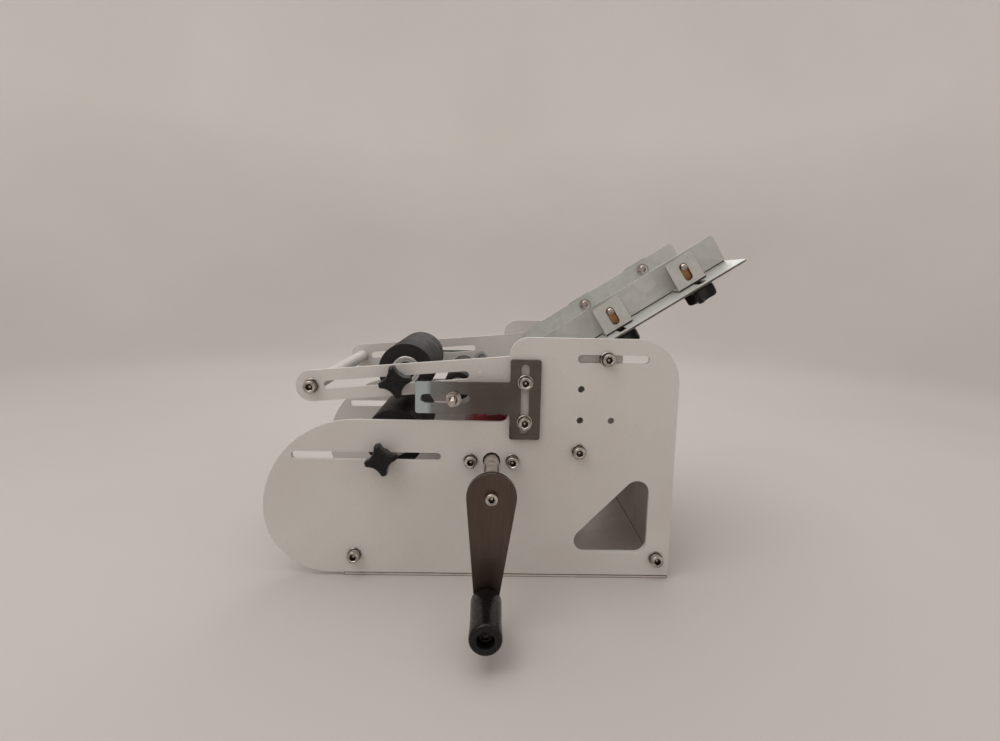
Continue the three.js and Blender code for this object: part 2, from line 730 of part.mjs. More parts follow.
function labelTray() {
  const outline = rounded([
    [TRAY.low, -TRAY.half, 1],
    [TRAY.high, -TRAY.half, 3],
    [TRAY.high, TRAY.half, 3],
    [TRAY.low, TRAY.half, 1],
  ]);
  for (const { name } of SIDES) {
    const [y0, y1] = CRADLES[name].slot;
    for (const { stud } of FEET) {
      outline.holes.push(slot({ x: stud, y: y0 }, { x: stud, y: y1 }, SLOT_R));
    }
  }
  const sheet = extruded(outline, TRAY.t, 4).translate(0, 0, -TRAY.t);
  const [pivot, tie, rod] = [PIVOT, TIE, WEB_ROD].map(inCradle);
  const cheeks = SIDES.map(({ s }) => trayCheek(s, pivot, tie, rod));
  return join(sheet, ...cheeks);
}

// The upright side wall that keeps the label roll in line.
function guideWall(wall, s) {
  const outline = rounded([
    [WALL.low, GAP, 1],
    [WALL.high, GAP, 2],
    [WALL.high, WALL.top, 3],
    [WALL.low, WALL.top, 18],
  ]);
  for (const { u } of FEET) outline.holes.push(circle(u, EAR_SCREW_W, HOLE_R));
  return slab(outline, wall, wall + s * WALL.t);
}

// A bent foot: a tab on the sheet under the thumb screw, and a slotted ear.
function guideFoot(wall, s, { u, stud }) {
  const ear0 = wall + s * (EAR_STANDOFF - WALL.t);
  const ear1 = wall + s * EAR_STANDOFF;
  const toe = wall + s * 3;
  const ear = rounded([
    [u - FOOT_W / 2, GAP],
    [u + FOOT_W / 2, GAP],
    [u + FOOT_W / 2, EAR_TOP, 2],
    [u - FOOT_W / 2, EAR_TOP, 2],
  ]);
  ear.holes.push(slot({ x: u, y: EAR_SLOT_LOW }, { x: u, y: EAR_SCREW_W }, SLOT_R));
  const [y0, y1] = [toe, ear1].sort((a, b) => a - b);
  const tab = block(u - FOOT_W / 2, u + FOOT_W / 2, y0, y1, GAP, GAP + WALL.t);
  const at = wall + s * STUD_IN;
  const eye = turned([[HOLE_R, -3, 3]]).rotateX(Math.PI / 2).translate(stud, at, GAP);
  return cut(join(slab(ear, ear0, ear1), tab), eye);
}

// A brass spacer block between wall and ear, with the screw through both.
function spacerScrew(wall, s) {
  const inner = wall + s * (WALL.t + GAP);
  const outer = wall + s * (EAR_STANDOFF - WALL.t - GAP);
  const ear = wall + s * (EAR_STANDOFF + GAP);
  const screwed = turned([
    [HEAD_R, wall - s * (GAP + WASHER_T + 3.5), wall - s * (GAP + WASHER_T)],
    [WASHER_R, wall - s * (GAP + WASHER_T), wall - s * GAP],
    [AXLE_R, wall - s * GAP, outer],
    [SPACER.stubR, outer, ear + s * SPACER.stub],
  ]);
  const [y0, y1] = [inner, outer].sort((a, b) => a - b);
  const { half, low, high } = SPACER;
  const brass = block(-half, half, y0, y1, low - EAR_SCREW_W, high - EAR_SCREW_W);
  return join(screwed, brass);
}

function buildCradle() {
  part("label_tray", labelTray(), MATERIALS.galvanised, cradle);
  const inner = GUSSET_OUT - GUSSET_T - GAP;
  const rod = turned([
    [AXLE_R, -GUSSET_OUT - 1, -inner],
    [WEB_ROD_R, -inner, inner],
    [AXLE_R, inner, GUSSET_OUT + 1],
  ]);
  place(part("web_rod", rod, MATERIALS.blackPlastic), WEB_ROD);
  for (const { name, s } of SIDES) {
    const { wall } = CRADLES[name];
    part(`label_guide_${name}`, guideWall(wall, s), MATERIALS.galvanised, cradle);
    for (const at of FEET) {
      const { name: end, u, stud } = at;
      const foot = guideFoot(wall, s, at);
      part(`guide_foot_${name}_${end}`, foot, MATERIALS.galvanised, cradle);
      const spacer = part(
        `guide_spacer_${name}_${end}`,
        spacerScrew(wall, s),
        MATERIALS.brass,
        cradle,
      );
      spacer.position.set(u, 0, EAR_SCREW_W);
      const knob = part(
        `guide_knob_${name}_${end}`,
        thumbScrew(),
        MATERIALS.blackPlastic,
        cradle,
      );
      knob.position.set(stud, wall + s * STUD_IN, 0);
    }
  }
}

// A knob under the tray with its stud and round head above the foot, along -w.
function thumbScrew() {
  const under = -TRAY.t - GAP;
  const top = 2 * GAP + WALL.t;
  const knob = clampKnob().rotateX(-Math.PI / 2).rotateZ(0.5);
  const stud = turned([
    [AXLE_R, under - 6, top],
    [5, top, top + 2.2],
  ]);
  return join(knob.translate(0, 0, under), stud.rotateX(Math.PI / 2));
}

buildFrame();
buildCrank();
buildGuideRoller();
buildPressArm();
buildSupportRoller();
buildCradle();

export default machine;
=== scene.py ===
"""Looks for the hand-cranked round-bottle labelling machine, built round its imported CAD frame.

Shape sizes are in millimetres and become metres when a piece is placed. Places come from the
frame. A turned piece is drawn about its own Z axis, which points out of the machine.
"""
import json
import math

import bmesh
import bpy
from mathutils import Matrix, Vector


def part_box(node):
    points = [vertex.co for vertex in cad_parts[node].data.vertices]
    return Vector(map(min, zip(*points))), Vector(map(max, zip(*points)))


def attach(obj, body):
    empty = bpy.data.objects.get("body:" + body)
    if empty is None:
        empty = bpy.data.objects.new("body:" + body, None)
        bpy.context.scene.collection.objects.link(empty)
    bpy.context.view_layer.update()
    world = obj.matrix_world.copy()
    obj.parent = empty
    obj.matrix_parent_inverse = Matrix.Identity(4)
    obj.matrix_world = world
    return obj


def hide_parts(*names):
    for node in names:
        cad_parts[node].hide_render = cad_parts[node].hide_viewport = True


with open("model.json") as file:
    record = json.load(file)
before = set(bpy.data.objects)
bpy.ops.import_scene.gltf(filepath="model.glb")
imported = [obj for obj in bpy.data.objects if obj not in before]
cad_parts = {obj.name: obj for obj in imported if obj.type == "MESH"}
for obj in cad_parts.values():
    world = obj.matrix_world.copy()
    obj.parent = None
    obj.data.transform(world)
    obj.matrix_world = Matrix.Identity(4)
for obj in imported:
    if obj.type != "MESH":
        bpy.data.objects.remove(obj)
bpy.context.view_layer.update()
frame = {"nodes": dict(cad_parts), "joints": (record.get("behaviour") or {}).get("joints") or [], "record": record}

MM = 0.001
SIDES = {"near": -1, "far": 1}
ENDS = ("lower", "upper")
ROUND = 48  # segments round a small turned piece
FINE = 96  # segments round a roller


# ---- Materials ----


class Graph:
    """One procedural material on a Principled shader, in object coordinates (metres)."""

    def __init__(self, name, **shader):
        self.material = bpy.data.materials.new(name)
        self.material.use_nodes = True
        self.nodes = self.material.node_tree.nodes
        self.links = self.material.node_tree.links
        self.shader = self.nodes["Principled BSDF"]
        for socket, value in shader.items():
            self.shader.inputs[socket.replace("_", " ")].default_value = value
        self.place = self.nodes.new("ShaderNodeTexCoord").outputs["Object"]

    def put(self, kind, settings=None, **inputs):
        node = self.nodes.new(kind)
        for key, value in (settings or {}).items():
            setattr(node, key, value)
        for key, value in inputs.items():
            self.feed(node.inputs[key.replace("_", " ")], value)
        return node

    def feed(self, socket, value):
        if isinstance(value, bpy.types.NodeSocket):
            self.links.new(value, socket)
        else:
            socket.default_value = value

    def stretched(self, stretch):
        return self.put("ShaderNodeMapping", Vector=self.place, Scale=stretch).outputs[0]

    def noise(self, scale, detail=3.0, stretch=None, distortion=0.0):
        vector = self.stretched(stretch) if stretch else self.place
        node = self.put(
            "ShaderNodeTexNoise", Vector=vector, Scale=scale, Detail=detail, Distortion=distortion
        )
        return node.outputs[0]

    def cells(self, scale, feature="F1"):
        return self.put(
            "ShaderNodeTexVoronoi", {"feature": feature}, Vector=self.place, Scale=scale
        )

    def span(self, value, low, high, start=0.3, stop=0.7):
        node = self.put("ShaderNodeMapRange", Value=value)
        node.inputs["From Min"].default_value = start
        node.inputs["From Max"].default_value = stop
        node.inputs["To Min"].default_value = low
        node.inputs["To Max"].default_value = high
        return node.outputs[0]

    def mix(self, factor, a, b):
        node = self.put("ShaderNodeMix", {"data_type": "RGBA"})
        self.feed(node.inputs[0], factor)
        for socket, value in ((node.inputs[6], a), (node.inputs[7], b)):
            self.feed(socket, (*value, 1.0) if isinstance(value, tuple) else value)
        return node.outputs[2]

    def radius(self):
        """Distance from the piece's own Z axis, in metres."""
        split = self.put("ShaderNodeSeparateXYZ", Vector=self.place)
        flat = self.put("ShaderNodeCombineXYZ", X=split.outputs[0], Y=split.outputs[1])
        return self.put(
            "ShaderNodeVectorMath", {"operation": "LENGTH"}, Vector=flat.outputs[0]
        ).outputs["Value"]

    def turned_marks(self, pitch):
        """Fine tool marks: rings on a face and on the side of a turned piece."""
        split = self.put("ShaderNodeSeparateXYZ", Vector=self.place)
        lane = self.put(
            "ShaderNodeCombineXYZ", X=self.radius(), Y=split.outputs[2], Z=0.0
        ).outputs[0]
        node = self.put("ShaderNodeTexNoise", Vector=lane, Scale=1.0 / pitch, Detail=2.0)
        return node.outputs[0]

    def bump(self, height, depth, strength=1.0, below=None):
        node = self.put("ShaderNodeBump", Height=height, Distance=depth, Strength=strength)
        if below:
            self.feed(node.inputs["Normal"], below)
        return node.outputs[0]

    def finish(self, color, roughness, normal=None):
        self.feed(self.shader.inputs["Base Color"], color)
        self.feed(self.shader.inputs["Roughness"], roughness)
        if normal:
            self.feed(self.shader.inputs["Normal"], normal)
        return self.material


def powder_coat(name, base, worn):
    """Fine orange-peel paint with faint handling marks."""
    g = Graph(name, Specular_IOR_Level=0.45, Coat_Weight=0.08, Coat_Roughness=0.3)
    smudge = g.span(g.noise(9.0, 5.0, distortion=0.6), 0.0, 1.0, 0.42, 0.72)
    speck = g.span(g.noise(420.0, 2.0), 0.0, 0.35, 0.62, 0.75)
    color = g.mix(smudge, base, worn)
    color = g.mix(speck, color, tuple(0.86 * c for c in worn))
    roughness = g.span(g.noise(60.0, 4.0), 0.4, 0.52)
    peel = g.bump(g.noise(1100.0, 2.0), 0.00022, 0.5)
    wave = g.bump(g.noise(35.0, 2.0), 0.0007, 0.25, peel)
    return g.finish(color, roughness, wave)


def brushed(name, light, dark, along, roughness=(0.24, 0.42), metallic=1.0, tip=None):
    """Sheet metal with a fine grain along one axis: X, Y or Z, and a few dull smears.

    A tip of (color, x where it is full, x where it ends) is a painted reflection that brightens the sheet towards
    -X.
    """
    g = Graph(name, Metallic=metallic)
    stretch = tuple(30.0 if axis == along else 2600.0 for axis in "XYZ")
    streak = g.noise(1.0, 3.0, stretch)
    smear = g.span(g.noise(26.0, 4.0, distortion=0.7), 0.0, 0.5, 0.42, 0.7)
    color = g.mix(g.span(streak, 0.0, 1.0), dark, light)
    color = g.mix(smear, color, tuple(0.72 * c for c in dark))
    # painted reflection: a tinted band fading out towards +X, full at the very end
    if tip:
        reflection_tint, full, end = tip
        x = g.put("ShaderNodeSeparateXYZ", Vector=g.place).outputs[0]
        reflection_fade = g.span(x, 0.3, 0.0, full, end)
        color = g.mix(reflection_fade, color, reflection_tint)
        color = g.mix(g.span(x, 1.0, 0.0, full - 0.004, full), color, reflection_tint)
    rough = g.span(g.noise(60.0, 4.0), *roughness)
    return g.finish(color, rough, g.bump(streak, 0.00004, 0.3))


def galvanised(name, light, dark):
    """Zinc-coated sheet: soft spangles, faint rolling lines and a few dull spots."""
    g = Graph(name, Metallic=0.6, Specular_IOR_Level=0.5)
    spangle = g.cells(150.0).outputs["Color"]
    flake = g.put("ShaderNodeSeparateColor", Color=spangle).outputs[0]
    roll = g.noise(1.0, 3.0, (10.0, 700.0, 10.0))
    color = g.mix(g.span(flake, 0.0, 0.55, 0.0, 1.0), light, dark)
    dull = g.span(g.noise(28.0, 5.0), 0.0, 0.5, 0.5, 0.8)
    color = g.mix(dull, color, tuple(0.75 * c for c in dark))
    rough = g.span(flake, 0.4, 0.52, 0.0, 1.0)
    grain = g.bump(roll, 0.00008, 0.3)
    return g.finish(color, rough, g.bump(g.noise(45.0, 2.0), 0.0006, 0.2, grain))


def turned_metal(name, light, dark, roughness=(0.18, 0.36), pitch=0.0003):
    """Machined metal with ring marks and darker film in places."""
    g = Graph(name, Metallic=1.0)
    marks = g.turned_marks(pitch)
    film = g.span(g.noise(160.0, 4.0), 0.0, 1.0, 0.38, 0.72)
    color = g.mix(film, light, dark)
    rough = g.span(marks, *roughness)
    return g.finish(color, rough, g.bump(marks, 0.00006, 0.3))


def rubber(name, base, dusty, gloss=(0.5, 0.68)):
    """Ground rubber: lengthwise grinding marks, dust in patches and a fine grain."""
    g = Graph(name, Specular_IOR_Level=0.35)
    dust = g.span(g.noise(40.0, 6.0, (1.0, 1.0, 0.35), 0.8), 0.0, 1.0, 0.45, 0.8)
    grind = g.noise(1.0, 3.0, (260.0, 260.0, 1500.0))
    color = g.mix(dust, base, dusty)
    rough = g.span(g.noise(90.0, 4.0), *gloss)
    fine = g.bump(grind, 0.00012, 0.35)
    return g.finish(color, rough, g.bump(g.noise(2200.0, 2.0), 0.00008, 0.4, fine))


def silicone(name, base, deep):
    """Smooth red silicone with a soft skin and slight mottling."""
    g = Graph(name, Specular_IOR_Level=0.5, Coat_Weight=0.25, Coat_Roughness=0.25)
    mottle = g.span(g.noise(70.0, 5.0, distortion=0.5), 0.0, 1.0, 0.35, 0.7)
    color = g.mix(mottle, base, deep)
    rough = g.span(g.noise(120.0, 4.0), 0.34, 0.5)
    return g.finish(color, rough, g.bump(g.noise(900.0, 3.0), 0.00012, 0.35))


def moulded(name, base, scuffed):
    """Satin moulded plastic with fine spark texture and pale scuffs."""
    g = Graph(name, Specular_IOR_Level=0.32)
    scuff = g.span(g.noise(1.0, 5.0, (90.0, 90.0, 340.0), 1.2), 0.0, 0.6, 0.6, 0.8)
    color = g.mix(scuff, base, scuffed)
    rough = g.span(g.noise(140.0, 4.0), 0.2, 0.34)
    return g.finish(color, rough, g.bump(g.noise(2600.0, 2.0), 0.00007, 0.4))


def paper(name, base, shade):
    """The studio's matt floor, lit a little from behind where it rises."""
    g = Graph(name, Specular_IOR_Level=0.15)
    color = g.mix(g.span(g.noise(1.4, 3.0), 0.0, 1.0), base, shade)
    rough = g.span(g.noise(6.0, 3.0), 0.8, 0.95)
    height = g.put("ShaderNodeSeparateXYZ", Vector=g.place).outputs[2]
    g.feed(g.shader.inputs["Emission Color"], color)
    g.feed(g.shader.inputs["Emission Strength"], g.span(height, 0.0, 0.26, 0.0, 0.9))
    return g.finish(color, rough, g.bump(g.noise(240.0, 3.0), 0.0002, 0.15))


WHITE = powder_coat("white_paint", (0.70, 0.67, 0.645), (0.64, 0.60, 0.575))
# painted highlight: a lighter copy of the white paint for the plates' and bars' rounded edges
WHITE_EDGE_HIGHLIGHT = powder_coat("white_paint_edge_highlight", (0.84, 0.81, 0.79), (0.76, 0.73, 0.71))
BASE_SHEET = brushed("base_sheet", (0.72, 0.655, 0.62), (0.62, 0.55, 0.515), "Y", (0.36, 0.5), 0.1)
GALVANISED = galvanised("galvanised_sheet", (0.66, 0.665, 0.64), (0.54, 0.545, 0.525))
# bare cut steel, darkened further as painted shade on cut faces, sheet rims and rounded edges
CUT_EDGE_SHADE = turned_metal("cut_edge_and_shade", (0.24, 0.225, 0.21), (0.10, 0.09, 0.085))
# painted highlight: light metal for the crank arm's rounded edges
CRANK_EDGE_HIGHLIGHT = turned_metal("edge_highlight", (0.62, 0.60, 0.57), (0.36, 0.33, 0.31))
# painted reflection of a pale lamp on the brackets' left ends, full at x -0.062 m and gone by -0.03 m
BRACKET_REFLECTION = ((0.50, 0.58, 0.60), -0.062, -0.03)
BRACKET = brushed(
    "brushed_bracket", (0.175, 0.148, 0.135), (0.13, 0.108, 0.098), "X", (0.2, 0.3),
    tip=BRACKET_REFLECTION,
)
CRANK_STEEL = brushed(
    "brushed_crank", (0.13, 0.098, 0.084), (0.10, 0.074, 0.062), "Z", (0.27, 0.38)
)
ZINC = turned_metal("zinc_steel", (0.66, 0.61, 0.56), (0.26, 0.215, 0.185), (0.1, 0.26))
# painted shade: near-black metal for socket walls, washer rims, spring washers and gap lines
RECESS_SHADE = turned_metal("painted_recess_shade", (0.055, 0.045, 0.04), (0.02, 0.016, 0.015), (0.25, 0.4))
SCREW = [ZINC, RECESS_SHADE]
BLACK_BOLT = turned_metal("black_bolt", (0.05, 0.042, 0.038), (0.025, 0.02, 0.018), (0.3, 0.45))
ALUMINIUM = turned_metal("bare_aluminium", (0.74, 0.73, 0.73), (0.58, 0.57, 0.56), (0.24, 0.38))
PAINTED_ROD = powder_coat("painted_rod", (0.64, 0.61, 0.59), (0.56, 0.53, 0.51))
RUBBER = rubber("black_rubber", (0.009, 0.0075, 0.0075), (0.026, 0.021, 0.020))
RED = silicone("red_silicone", (0.24, 0.013, 0.016), (0.14, 0.007, 0.009))
PLASTIC = moulded("black_plastic", (0.0045, 0.0038, 0.004), (0.012, 0.010, 0.010))
# brass darkened as painted shade, for the block's place in the gap between wall and ear
SHADED_BRASS = turned_metal("brass_spacer", (0.40, 0.21, 0.10), (0.20, 0.09, 0.04))
# painted shade: a darker black for the inside of the grip's mouth
MOUTH_SHADE = rubber("grip_mouth_shade", (0.003, 0.0027, 0.0027), (0.006, 0.005, 0.005))
# painted shade: the dark shield in the gap inside each bearing
SHADOW_GAP = moulded("bearing_shield_shade", (0.03, 0.028, 0.028), (0.09, 0.085, 0.08))


# ---- Mesh helpers ----


def middle(node):
    low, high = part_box(node)
    return (low + high) / 2


def smooth(mesh, angle=38):
    mesh.shade_smooth()
    mesh.set_sharp_from_angle(angle=math.radians(angle))


def aimed(at, axis, turn=0.0):
    """The placement that takes local Z to axis, at a point, after a turn about Z."""
    swing = Vector(axis).to_track_quat("Z", "Y").to_matrix().to_4x4()
    return Matrix.Translation(Vector(at)) @ swing @ Matrix.Rotation(turn, 4, "Z")


class Turned:
    """Closed skins about local Z, gathered in one mesh."""

    def __init__(self):
        self.bm = bmesh.new()

    def ring(self, radius, z, segments):
        loop = []
        for i in range(segments):
            a = 2 * math.pi * i / segments
            r = radius(a, z) if callable(radius) else radius
            corner = Vector((r * math.cos(a), r * math.sin(a), z)) * MM
            loop.append(self.bm.verts.new(corner))
        return loop

    def skin(self, rings, segments=ROUND, closed=False, slot=0, dark=()):
        """A skin through rings of (radius, height). Closed rings make a tube, others are capped.

        The steps in dark, counted from the first ring, take the second material.
        """
        loops = [self.ring(r, z, segments) for r, z in rings]
        pairs = list(zip(loops, loops[1:]))
        if closed:
            pairs.append((loops[-1], loops[0]))
        for step, (low, high) in enumerate(pairs):
            for i in range(segments):
                j = (i + 1) % segments
                face = self.bm.faces.new((low[i], low[j], high[j], high[i]))
                face.material_index = 1 if step in dark else slot
        if not closed:
            self.bm.faces.new(loops[0][::-1]).material_index = slot
            self.bm.faces.new(loops[-1]).material_index = slot
        return self

    def place(self, name, materials, matrix, body, slot, nodes=()):
        bmesh.ops.recalc_face_normals(self.bm, faces=self.bm.faces)
        mesh = bpy.data.meshes.new(name)
        self.bm.to_mesh(mesh)
        self.bm.free()
        for material in materials if isinstance(materials, list) else [materials]:
            mesh.materials.append(material)
        smooth(mesh)
        piece = bpy.data.objects.new(name, mesh)
        bpy.context.scene.collection.objects.link(piece)
        piece.matrix_world = matrix
        return settle(piece, body, nodes)


def settle(piece, body, nodes=()):
    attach(piece, body)
    if nodes:
        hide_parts(*nodes)
    return piece


def body_of_node(node):
    bodies = frame["record"]["behaviour"]["bodies"]
    return next(body for body, members in bodies.items() if node in members)


def edged(node, material, edge=None, width=0.35, sharp=40, cut=None):
    """A CAD sheet or block with its edges rounded, standing for its node.

    Faces that pass the test cut(normal, centre) take the edge's material too.
    """
    bm = bmesh.new()
    bm.from_mesh(frame["nodes"][node].data)
    bmesh.ops.remove_doubles(bm, verts=bm.verts, dist=0.00001)
    flat = math.radians(0.5)
    bmesh.ops.dissolve_limit(bm, angle_limit=flat, verts=bm.verts, edges=bm.edges)
    bmesh.ops.recalc_face_normals(bm, faces=bm.faces)
    for face in bm.faces:
        if cut and cut(face.normal, face.calc_center_median()):
            face.material_index = 1
    limit = math.radians(sharp)
    corners = [e for e in bm.edges if e.is_manifold and e.calc_face_angle() > limit]
    bmesh.ops.bevel(
        bm, geom=corners, offset=width * MM, offset_type="OFFSET", segments=2,
        profile=0.6, affect="EDGES", clamp_overlap=True, material=1 if edge else 0,
    )
    bmesh.ops.recalc_face_normals(bm, faces=bm.faces)
    mesh = bpy.data.meshes.new(f"{node}_formed")
    bm.to_mesh(mesh)
    bm.free()
    mesh.materials.append(material)
    mesh.materials.append(edge or material)
    smooth(mesh, 50)
    piece = bpy.data.objects.new(f"{node}_formed", mesh)
    bpy.context.scene.collection.objects.link(piece)
    even = piece.modifiers.new("even_normals", "WEIGHTED_NORMAL")
    even.keep_sharp = True
    return settle(piece, body_of_node(node), [node])


# ---- Profiles ----


def hexagon(across, turn=0.0):
    sixth = math.pi / 3

    def radius(a, _z):
        return across / 2 / math.cos((a + turn) % sixth - sixth / 2)

    return radius


def knurled(r, teeth=32, depth=0.12):
    def radius(a, _z):
        return r - depth * (0.5 - 0.5 * math.cos(teeth * a))

    return radius


def threaded(r, pitch, depth=0.32):
    def radius(a, z):
        phase = (z / pitch - a / (2 * math.pi)) % 1.0
        return r - depth * abs(2 * phase - 1)

    return radius


def lobed(scale=1.0, tip=13.0, waist=8.0, hollow=12.0):
    """A four-armed star: hollow round sides between blunt tips."""
    quarter = math.pi / 2
    far = waist + hollow

    def radius(a, _z):
        off = a % quarter - quarter / 2
        inside = max(hollow**2 - (far * math.sin(off)) ** 2, 0.0)
        side = far * math.cos(off) - math.sqrt(inside)
        return scale * (side**-22 + tip**-22) ** (-1 / 22)

    return radius


def thread_rings(r, start, stop, pitch=1.0):
    steps = max(2, round(abs(stop - start) / pitch * 5))
    form = threaded(r, pitch)
    return [(form, start + (stop - start) * i / steps) for i in range(steps + 1)]


# ---- Screws ----

HEAD_R, HEAD_H = 4.95, 6.0
SOCKET = 5.0  # across its flats
SOCKET_DEPTH = 3.2
WASHER_R, WASHER_H = 6.0, 0.85
SPRING_R, SPRING_H = 5.3, 0.55
SHANK_R = 2.9
NUT_ACROSS, NUT_H = 10.0, 5.0


def socket_head(shape, top, height=HEAD_H, r=HEAD_R, socket=SOCKET):
    """A knurled cap head with a hexagon socket whose walls take painted shade (slot 1); its top is at height top.
    """
    low = top - height
    form = hexagon(socket)
    grip = knurled(r)
    depth = min(SOCKET_DEPTH, height - 1.2)
    shape.skin(
        [
            (SHANK_R, low), (r - 0.25, low), (r, low + 0.25), (grip, low + 0.5),
            (grip, top - 0.9), (r, top - 0.7), (r - 0.15, top - 0.35), (r - 0.5, top - 0.08),
            (r - 0.9, top), (lambda a, z: form(a, z) + 0.35, top), (form, top - 0.3),
            (form, top - depth), (0.9, top - depth - 0.4),
        ],
        segments=96, dark=(10, 11),
    )


def washers(shape, seat):
    """A flat washer and a spring washer on the seat; the flat washer's rim and the whole spring washer take
    painted shade.
    """
    top = seat + WASHER_H
    shape.skin(
        [
            (SHANK_R + 0.35, seat), (WASHER_R - 0.12, seat), (WASHER_R, seat + 0.12),
            (WASHER_R, top - 0.2), (WASHER_R - 0.25, top), (SHANK_R + 0.35, top),
        ],
        closed=True, dark=(1, 2),
    )
    shape.skin(
        [
            (SHANK_R + 0.3, top), (SPRING_R, top), (SPRING_R, top + SPRING_H),
            (SHANK_R + 0.3, top + SPRING_H),
        ],
        closed=True, slot=1,
    )


def nut(shape, low, high, across=NUT_ACROSS):
    """A hexagon nut with chamfered corners."""
    form = hexagon(across)
    inside = SHANK_R + 0.1

    def trimmed(a, z):
        return min(form(a, z), across * 0.53)

    shape.skin(
        [
            (inside + 0.4, low), (trimmed, low), (form, low + 0.5), (form, high - 0.5),
            (trimmed, high), (inside + 0.4, high), (inside, high - 0.4), (inside, low + 0.4),
        ],
        closed=True,
    )


def outward(node):
    return 1 if middle(node).y > 0 else -1


def cap_screw(node, nutted=False):
    """A socket-head screw along Y in place of its node, with washers and perhaps a nut."""
    s = outward(node)
    low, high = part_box(node)
    length = (high.y - low.y) / MM
    at = middle(node)
    at.y = high.y if s > 0 else low.y
    shape = Turned()
    socket_head(shape, 0.0)
    washers(shape, -HEAD_H - WASHER_H - SPRING_H)
    seat = -HEAD_H - WASHER_H - SPRING_H
    plain = [(SHANK_R, -HEAD_H - 0.02), (SHANK_R, seat - 0.5)]
    tip = thread_rings(SHANK_R, seat - 1.0, -length + 0.6)
    shape.skin(plain + tip + [(SHANK_R - 0.7, -length)])
    if nutted:
        nut(shape, -length + 1.0, -length + 1.0 + NUT_H)
    turn = 0.37 * (sum(map(ord, node)) % 17)
    matrix = aimed(at, (0, s, 0), turn)
    shape.place(f"{node}_cap", SCREW, matrix, body_of_node(node), "zinc_steel", [node])


def screws():
    for name in SIDES:
        for end in ("front", "rear"):
            cap_screw(f"base_screw_{name}_{end}", nutted=True)
            cap_screw(f"bearing_screw_{name}_{end}", nutted=True)
        for end in ("upper", "lower"):
            cap_screw(f"bracket_screw_{name}_{end}")
        cap_screw(f"handle_screw_{name}")


# ---- Clamp knobs ----

KNOB_BOSS_R, KNOB_BOSS, KNOB_TOP = 7.0, 4.5, 15.5


def knob_skin(shape):
    """A four-lobed knob: a round boss, a lobed body with soft edges and a dished face."""
    shape.skin(
        [
            (3.4, 0.0), (KNOB_BOSS_R - 0.4, 0.0), (KNOB_BOSS_R, 0.4),
            (KNOB_BOSS_R, KNOB_BOSS - 0.6), (KNOB_BOSS_R + 0.15, KNOB_BOSS),
            (lobed(0.90), KNOB_BOSS + 0.15),
            (lobed(0.955), KNOB_BOSS + 0.5), (lobed(0.985), KNOB_BOSS + 1.2),
            (lobed(1.0), KNOB_BOSS + 2.4), (lobed(0.985), KNOB_TOP - 3.2),
            (lobed(0.96), KNOB_TOP - 1.7), (lobed(0.91), KNOB_TOP - 0.8),
            (lobed(0.83), KNOB_TOP - 0.2), (lobed(0.72), KNOB_TOP),
            (lobed(0.55), KNOB_TOP - 0.12), (4.4, KNOB_TOP - 0.5), (3.9, KNOB_TOP - 0.65),
            (3.6, KNOB_TOP - 0.45), (2.0, KNOB_TOP - 0.3),
        ],
        segments=FINE,
    )


def axle_knob(node, turn):
    s = outward(node)
    low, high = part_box(node)
    at = middle(node)
    at.y = low.y if s > 0 else high.y
    shape = Turned()
    knob_skin(shape)
    matrix = aimed(at, (0, s, 0), turn)
    shape.place(
        f"{node}_moulded", PLASTIC, matrix, body_of_node(node), "black_plastic", [node]
    )


# ---- Rollers ----


def rubber_tube(node, name, r, bore, length, material, slot, matrix, nodes):
    """A covered roller's sleeve with rounded ends, its axis along local Z from 0."""
    shape = Turned()
    shape.skin(
        [
            (bore, 0.4), (bore + 0.5, 0.0), (r - 1.2, 0.0), (r - 0.35, 0.3), (r, 1.1),
            (r, length / 2), (r, length - 1.1), (r - 0.35, length - 0.3), (r - 1.2, length),
            (bore + 0.5, length), (bore, length - 0.4),
        ],
        segments=FINE, closed=True,
    )
    shape.place(name, material, matrix, body_of_node(node), slot, nodes)


BEARING_WIDE = 4
SHIELD_SUNK = 1.2


def bearing_end(shape, r, face, way):
    """A ball bearing seen in a roller's end: rings and a recessed shield painted dark as shade in its gap (slot
    1).
    """
    back = face - way * BEARING_WIDE
    shield = face - way * SHIELD_SUNK
    shape.skin([(r - 2.0, face), (r - 0.1, face), (r - 0.1, back), (r - 2.0, back)], closed=True)
    shape.skin(
        [(5.9, shield), (r - 2.05, shield), (r - 2.05, shield - way), (5.9, shield - way)],
        closed=True, slot=1,
    )
    shape.skin(
        [(3.2, face), (5.6, face), (5.85, face - way * 0.25), (5.85, back), (3.2, back)],
        closed=True,
    )


def core_tube(name, r, length, matrix, body, slot, nodes):
    """A roller's metal core: a tube with a lipped mouth and a bearing in each end."""
    shape = Turned()
    seat = r - 2.6
    shape.skin(
        [
            (seat, 0.6), (seat + 0.4, 0.0), (r - 0.4, 0.0), (r, 0.4), (r, length - 0.4),
            (r - 0.4, length), (seat + 0.4, length), (seat, length - 0.6),
        ],
        segments=FINE, closed=True,
    )
    bearing_end(shape, seat, 0.9, -1)
    bearing_end(shape, seat, length - 0.9, 1)
    shape.place(name, [ALUMINIUM, SHADOW_GAP], matrix, body, slot, nodes)


def from_near_end(node):
    """Placement with local Z along +Y, at the near end of a turned node."""
    at = middle(node)
    at.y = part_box(node)[0].y
    return aimed(at, (0, 1, 0))


def size_of(node):
    low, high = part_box(node)
    return [(b - a) / MM for a, b in zip(low, high)]


